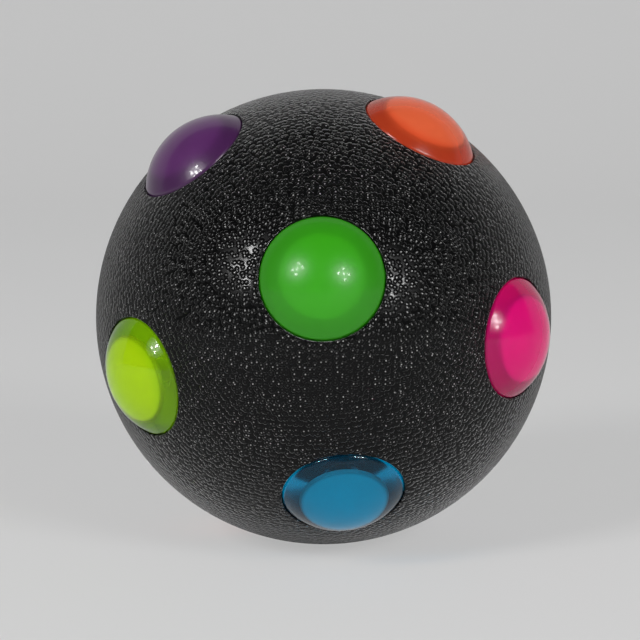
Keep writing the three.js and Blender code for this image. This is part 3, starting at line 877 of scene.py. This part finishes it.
class BALL_OT_screw(BallOperator, bpy.types.Operator):
    """Cross-headed screw of the battery door"""

    bl_idname = "ball.screw"
    bl_label = "Door screw"

    def execute(self, context):
        sizes = self.sizes
        axes = door_axes()
        seat = sizes.screw_top - sizes.screw_head
        rings = [(sizes.screw_radius * step / SCREW_STEPS, sizes.screw_top)
                 for step in reversed(range(SCREW_STEPS + 1))]
        profile = [
            (0.0, sizes.screw_tip),
            (sizes.shank_radius, sizes.screw_tip + SCREW_POINT),
            (sizes.shank_radius, seat),
            (sizes.screw_radius, seat),
            *rings,
        ]
        points, polygons = turned(profile, axes, SCREW_SEGMENTS)
        points = np.array(points)
        local = points @ axes.T
        across = np.abs(local[:, :2])
        in_cross = (across.min(axis=1) < CROSS_HALF_WIDTH) & (across.max(axis=1) < CROSS_HALF_LENGTH)
        sunk = in_cross & (local[:, 2] > sizes.screw_top - TINY)
        points = points - np.outer(sunk * CROSS_DEPTH, axes[2]) - axes[0] * sizes.lug_offset
        add_piece("door_screw_cross", points, polygons, metal_finish("screw_steel", self.colours.steel),
                  "battery_cover", "steel", ["battery_door_screw"])
        return {"FINISHED"}


class BALL_OT_cells(BallOperator, bpy.types.Operator):
    """Coin cells with a can, a cap and the groove of the seal between them"""

    bl_idname = "ball.cells"
    bl_label = "Coin cells"

    def execute(self, context):
        sizes = self.sizes
        material = metal_finish("cell_steel", self.colours.steel)
        top = sizes.door_bottom - sizes.clearance
        for place in ("outer", "inner"):
            bottom = top - sizes.cell_thickness
            groove = bottom + sizes.cell_seal
            profile = rounded([
                (0.0, bottom),
                (sizes.cell_cap_radius - sizes.cell_seal, bottom),
                (sizes.cell_cap_radius - sizes.cell_seal, groove),
                (sizes.cell_cap_radius, groove),
                (sizes.cell_cap_radius, bottom),
                (sizes.cell_radius - sizes.edge, bottom),
                (sizes.cell_radius, bottom + sizes.edge),
                (sizes.cell_radius, top),
                (0.0, top),
            ], sizes.edge)
            points, polygons = turned(profile, door_axes(), CELL_SEGMENTS)
            add_piece("cell_can_" + place, points, polygons, material, "ball", "steel",
                      ["coin_cell_" + place])
            top = bottom - sizes.clearance
        return {"FINISHED"}


class BALL_OT_inside(BallOperator, bpy.types.Operator):
    """Finishes for the boards, contacts and wires inside"""

    bl_idname = "ball.inside"
    bl_label = "Inside pieces"

    def execute(self, context):
        colours = self.colours
        finishes = {
            "led_board": board_finish(colours),
            "main_board_screw": metal_finish("board_screw_steel", colours.steel),
            "main_board": board_finish(colours),
            "battery_contact": metal_finish("contact_brass", colours.contact),
            "wire_harness": matte_finish("wire_cover", colours.wire),
        }
        for name, node in frame["nodes"].items():
            kind = next((key for key in finishes if name.startswith(key)), None)
            if kind:
                node.data.materials.clear()
                node.data.materials.append(finishes[kind])
        return {"FINISHED"}


class BALL_OT_stage(BallOperator, bpy.types.Operator):
    """Pale floor and backdrop, soft lamps and the camera"""

    bl_idname = "ball.stage"
    bl_label = "Stage"

    def execute(self, context):
        self.add_sweep()
        toward, right, up = self.add_camera()
        for side, height, depth in LAMP_DIRECTIONS:
            self.add_lamps(right * side + up * height + toward * depth, right, up)
        context.scene.world = soft_room()
        context.scene.view_settings.view_transform = "Standard"
        return {"FINISHED"}

    def add_sweep(self):
        floor = -self.sizes.ball_radius - FLOOR_GAP
        outline = [(SWEEP_FRONT, floor), (SWEEP_BACK, floor)]
        for turn in np.linspace(SWEEP_FIRST_TURN, math.pi / 2, SWEEP_STEPS):
            rise = SWEEP_BEND * (1 - math.cos(turn))
            outline.append((SWEEP_BACK + SWEEP_BEND * math.sin(turn), floor + rise))
        outline.append((SWEEP_BACK + SWEEP_BEND, SWEEP_TOP))
        points = [(x, y, z) for y, z in outline for x in (-SWEEP_HALF_WIDTH, SWEEP_HALF_WIDTH)]
        polygons = [[row, row + 1, row + 3, row + 2] for row in range(0, len(points) - 2, 2)]
        mesh = bpy.data.meshes.new("pale_sweep")
        mesh.from_pydata(points, [], polygons)
        mesh.polygons.foreach_set("use_smooth", [True] * len(mesh.polygons))
        mesh.materials.append(pale_finish("pale_sweep", self.colours.floor))
        sweep = bpy.data.objects.new("pale_sweep", mesh)
        bpy.context.scene.collection.objects.link(sweep)

    def add_camera(self):
        level = math.cos(CAMERA_ELEVATION)
        toward = Vector((math.sin(CAMERA_AZIMUTH) * level, -math.cos(CAMERA_AZIMUTH) * level,
                         math.sin(CAMERA_ELEVATION)))
        data = bpy.data.cameras.new("camera")
        data.lens = CAMERA_LENS
        data.sensor_width = CAMERA_SENSOR
        data.shift_x, data.shift_y = (pixels / FRAME_PIXELS for pixels in SHIFT_PIXELS)
        data.clip_end = CAMERA_CLIP_END
        camera = bpy.data.objects.new("camera", data)
        camera.location = toward * CAMERA_DISTANCE
        turn = (-toward).to_track_quat("-Z", "Y") @ Quaternion((0.0, 0.0, 1.0), -CAMERA_ROLL)
        camera.rotation_euler = turn.to_euler()
        bpy.context.scene.collection.objects.link(camera)
        bpy.context.scene.camera = camera
        right = Vector((math.cos(CAMERA_AZIMUTH), math.sin(CAMERA_AZIMUTH), 0.0))
        return toward, right, toward.cross(right)

    def add_lamps(self, direction, right, up):
        """A soft glow that fades outwards, with a cross of five small lamps in front of it"""
        middle = direction.normalized() * LAMP_DISTANCE
        lamps = [(middle + LAMP_SPACING * (right * across + up * along), LAMP_SIZE, LAMP_ENERGY)
                 for across, along in LAMP_CROSS]
        lamps += [(middle * GLOW_STANDOFF, size, GLOW_ENERGY) for size in GLOW_SIZES]
        for place, size, energy in lamps:
            lamp = bpy.data.lights.new("soft_lamp", "AREA")
            lamp.shape = "DISK"
            lamp.size = size
            lamp.energy = energy
            holder = bpy.data.objects.new("soft_lamp", lamp)
            holder.location = place
            holder.rotation_euler = (-place).to_track_quat("-Z", "Y").to_euler()
            bpy.context.scene.collection.objects.link(holder)


class BALL_PT_panel(bpy.types.Panel):
    """Lists the ball's pieces"""

    bl_idname = "BALL_PT_panel"
    bl_label = "Dome ball"
    bl_space_type = "VIEW_3D"
    bl_region_type = "UI"
    bl_category = "Dome ball"

    def draw(self, context):
        for operator in OPERATORS:
            self.layout.operator(operator.bl_idname)


OPERATORS = (BALL_OT_shells, BALL_OT_domes, BALL_OT_diffusers, BALL_OT_rings, BALL_OT_screw, BALL_OT_cells,
             BALL_OT_inside, BALL_OT_stage)
CLASSES = (BallSizes, BallColours, *OPERATORS, BALL_PT_panel)


def register():
    for each in CLASSES:
        bpy.utils.register_class(each)
    bpy.types.Scene.ball_sizes = PointerProperty(type=BallSizes)
    bpy.types.Scene.ball_colours = PointerProperty(type=BallColours)


def unregister():
    del bpy.types.Scene.ball_colours
    del bpy.types.Scene.ball_sizes
    for each in reversed(CLASSES):
        bpy.utils.unregister_class(each)


def main():
    register()
    bpy.ops.ball.shells()
    bpy.ops.ball.domes()
    bpy.ops.ball.diffusers()
    bpy.ops.ball.rings()
    bpy.ops.ball.screw()
    bpy.ops.ball.cells()
    bpy.ops.ball.inside()
    bpy.ops.ball.stage()
    bpy.context.view_layer.update()


if __name__ == "__main__":
    main()
